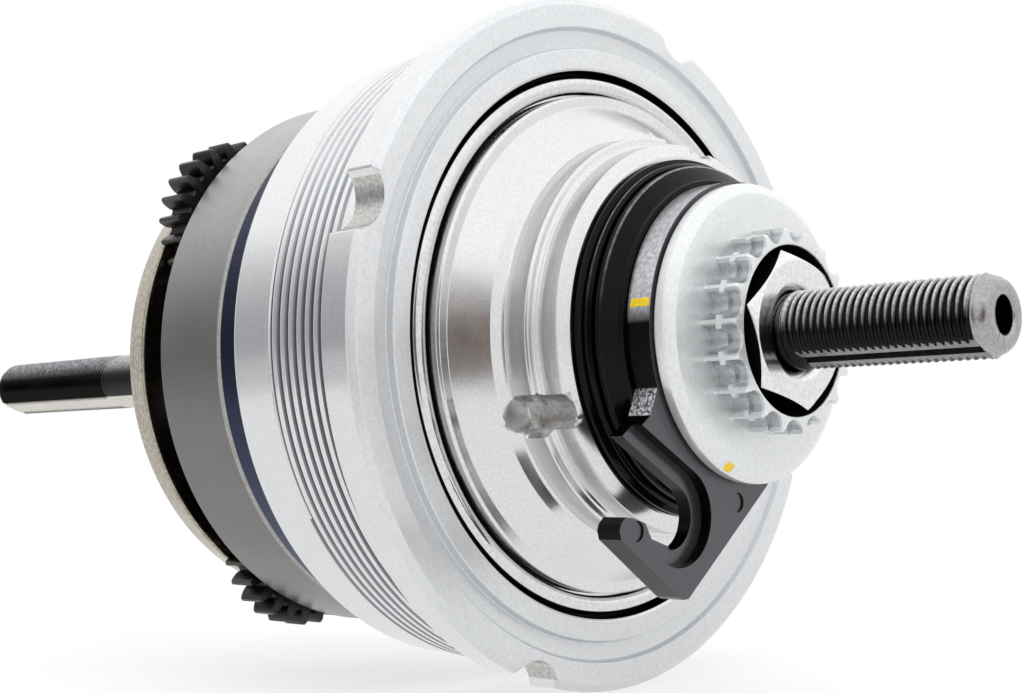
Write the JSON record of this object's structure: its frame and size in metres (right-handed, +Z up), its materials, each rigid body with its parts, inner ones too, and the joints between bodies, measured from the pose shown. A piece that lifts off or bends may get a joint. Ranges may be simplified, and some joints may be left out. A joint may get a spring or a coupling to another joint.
{
  "type": "internal hub gear unit",
  "caption": "Planetary hub gear on a threaded axle, with a flanged ball ring, sprocket driver, cable pulley and toothed fixing ring.",
  "frame": {"origin": "on the axle's axis, in the plane of the flange's rear face where the hub shell seats", "axes": "-Y along the axle towards the drive end, +Z up, +X to the right seen from the drive end"},
  "size_m": [0.09, 0.2071, 0.09],
  "materials": {
    "hub_axle": "dark rolled thread, ground flats",
    "sun_gear_fixed": "machined",
    "sun_gear_floating": "machined",
    "planet_gear_1": "black oxide",
    "planet_gear_2": "black oxide",
    "planet_gear_3": "black oxide",
    "planet_pins": "ground",
    "carrier_cover": "pressed, matt",
    "carrier_plate": "machined",
    "carrier_screws": "zinc plated",
    "carrier_bush": "sintered bronze",
    "gear_ring": "matt, hardened",
    "clutch_cam_ring": "blued",
    "clutch_rollers": "polished",
    "roller_cage": "pressed brass",
    "ball_ring": "bright zinc plated, turned",
    "main_bearing_balls": "polished",
    "main_ball_cage": "pressed brass",
    "driver": "bright zinc plated, turned",
    "dust_cap": "polished",
    "drive_pawl_1": "hardened",
    "drive_pawl_2": "hardened",
    "drive_pawl_3": "hardened",
    "driver_bearing_balls": "polished",
    "driver_ball_cage": "pressed brass",
    "drive_cone": "ground",
    "driver_cap": "moulded, glossy black",
    "cable_pulley": "moulded, glossy black",
    "return_spring": "spring strip",
    "cable_arm": "black plated",
    "fixing_ring": "bright zinc plated",
    "axle_locknut": "bright nickel plated"
  },
  "bodies": {
    "axle_group": {"hub_axle": "hub_axle", "sun_gear_fixed": "sun_gear_fixed", "drive_cone": "drive_cone", "axle_locknut": "axle_locknut", "cable_arm": "cable_arm"},
    "carrier_group": {"carrier_cover": "carrier_cover", "carrier_plate": "carrier_plate", "carrier_screws": "carrier_screws", "carrier_bush": "carrier_bush", "planet_pins": "planet_pins"},
    "planet_1": {"planet_gear_1": "planet_gear_1"},
    "planet_2": {"planet_gear_2": "planet_gear_2"},
    "planet_3": {"planet_gear_3": "planet_gear_3"},
    "floating_sun": {"sun_gear_floating": "sun_gear_floating"},
    "gear_ring_group": {"gear_ring": "gear_ring", "clutch_cam_ring": "clutch_cam_ring"},
    "clutch_group": {"clutch_rollers": "clutch_rollers", "roller_cage": "roller_cage"},
    "ball_ring_group": {"ball_ring": "ball_ring"},
    "main_bearing": {"main_bearing_balls": "main_bearing_balls", "main_ball_cage": "main_ball_cage"},
    "driver_group": {"driver": "driver", "dust_cap": "dust_cap", "driver_cap": "driver_cap"},
    "pawl_1": {"drive_pawl_1": "drive_pawl_1"},
    "pawl_2": {"drive_pawl_2": "drive_pawl_2"},
    "pawl_3": {"drive_pawl_3": "drive_pawl_3"},
    "driver_bearing": {"driver_bearing_balls": "driver_bearing_balls", "driver_ball_cage": "driver_ball_cage"},
    "pulley_group": {"cable_pulley": "cable_pulley", "return_spring": "return_spring"},
    "fixing_ring_group": {"fixing_ring": "fixing_ring"}
  },
  "joints": [
    {"name": "ball_ring_spin", "type": "hinge", "parent": "axle_group", "child": "ball_ring_group", "pos_m": [0, 0, 0], "axis": [0, -1, 0], "continuous": true},
    {"name": "gear_ring_spin", "type": "hinge", "parent": "axle_group", "child": "gear_ring_group", "pos_m": [0, 0, 0], "axis": [0, -1, 0], "continuous": true},
    {"name": "clutch_spin", "type": "hinge", "parent": "axle_group", "child": "clutch_group", "pos_m": [0, 0, 0], "axis": [0, -1, 0], "continuous": true},
    {"name": "carrier_spin", "type": "hinge", "parent": "axle_group", "child": "carrier_group", "pos_m": [0, 0, 0], "axis": [0, -1, 0], "continuous": true},
    {"name": "planet_1_spin", "type": "hinge", "parent": "carrier_group", "child": "planet_1", "pos_m": [-0.02172, 0.0455, 0.01822], "axis": [0, -1, 0], "continuous": true},
    {"name": "planet_2_spin", "type": "hinge", "parent": "carrier_group", "child": "planet_2", "pos_m": [-0.01036, 0.0455, -0.02639], "axis": [0, -1, 0], "continuous": true},
    {"name": "planet_3_spin", "type": "hinge", "parent": "carrier_group", "child": "planet_3", "pos_m": [0.02747, 0.0455, 0.007], "axis": [0, -1, 0], "continuous": true},
    {"name": "floating_sun_spin", "type": "hinge", "parent": "axle_group", "child": "floating_sun", "pos_m": [0, 0, 0], "axis": [0, -1, 0], "continuous": true},
    {"name": "driver_spin", "type": "hinge", "parent": "axle_group", "child": "driver_group", "pos_m": [0, 0, 0], "axis": [0, -1, 0], "continuous": true},
    {"name": "main_bearing_spin", "type": "hinge", "parent": "axle_group", "child": "main_bearing", "pos_m": [0, 0, 0], "axis": [0, -1, 0], "continuous": true},
    {"name": "driver_bearing_spin", "type": "hinge", "parent": "axle_group", "child": "driver_bearing", "pos_m": [0, 0, 0], "axis": [0, -1, 0], "continuous": true},
    {"name": "pawl_1_pivot", "type": "hinge", "parent": "driver_group", "child": "pawl_1", "pos_m": [0.01458, 0.0254, -0.00081], "axis": [0, -1, 0], "range_deg": [-25, 0], "stiffness_Nm_per_rad": 0.002, "springref_deg": 17.19},
    {"name": "pawl_2_pivot", "type": "hinge", "parent": "driver_group", "child": "pawl_2", "pos_m": [-0.00658, 0.0254, 0.01303], "axis": [0, -1, 0], "range_deg": [-25, 0], "stiffness_Nm_per_rad": 0.002, "springref_deg": 17.19},
    {"name": "pawl_3_pivot", "type": "hinge", "parent": "driver_group", "child": "pawl_3", "pos_m": [-0.00799, 0.0254, -0.01222], "axis": [0, -1, 0], "range_deg": [-25, 0], "stiffness_Nm_per_rad": 0.002, "springref_deg": 17.19},
    {"name": "pulley_turn", "type": "hinge", "parent": "axle_group", "child": "pulley_group", "pos_m": [0, -0.0215, 0], "axis": [0, -1, 0], "range_deg": [0, 130], "stiffness_Nm_per_rad": 0.02, "springref_deg": -28.65},
    {"name": "fixing_ring_turn", "type": "hinge", "parent": "axle_group", "child": "fixing_ring_group", "pos_m": [0, -0.028, 0], "axis": [0, -1, 0], "range_deg": [0, 45]}
  ],
  "couplings": [
    {"joint": "gear_ring_spin", "follows": "ball_ring_spin", "ratio": 1},
    {"joint": "clutch_spin", "follows": "ball_ring_spin", "ratio": 1},
    {"joint": "carrier_spin", "follows": "ball_ring_spin", "ratio": 0.77381},
    {"joint": "driver_spin", "follows": "ball_ring_spin", "ratio": 0.77381},
    {"joint": "floating_sun_spin", "follows": "ball_ring_spin", "ratio": 0.40625},
    {"joint": "planet_1_spin", "follows": "ball_ring_spin", "ratio": 1.1762},
    {"joint": "planet_2_spin", "follows": "ball_ring_spin", "ratio": 1.1762},
    {"joint": "planet_3_spin", "follows": "ball_ring_spin", "ratio": 1.1762},
    {"joint": "main_bearing_spin", "follows": "ball_ring_spin", "ratio": 0.89559},
    {"joint": "driver_bearing_spin", "follows": "ball_ring_spin", "ratio": 0.45268}
  ]
}
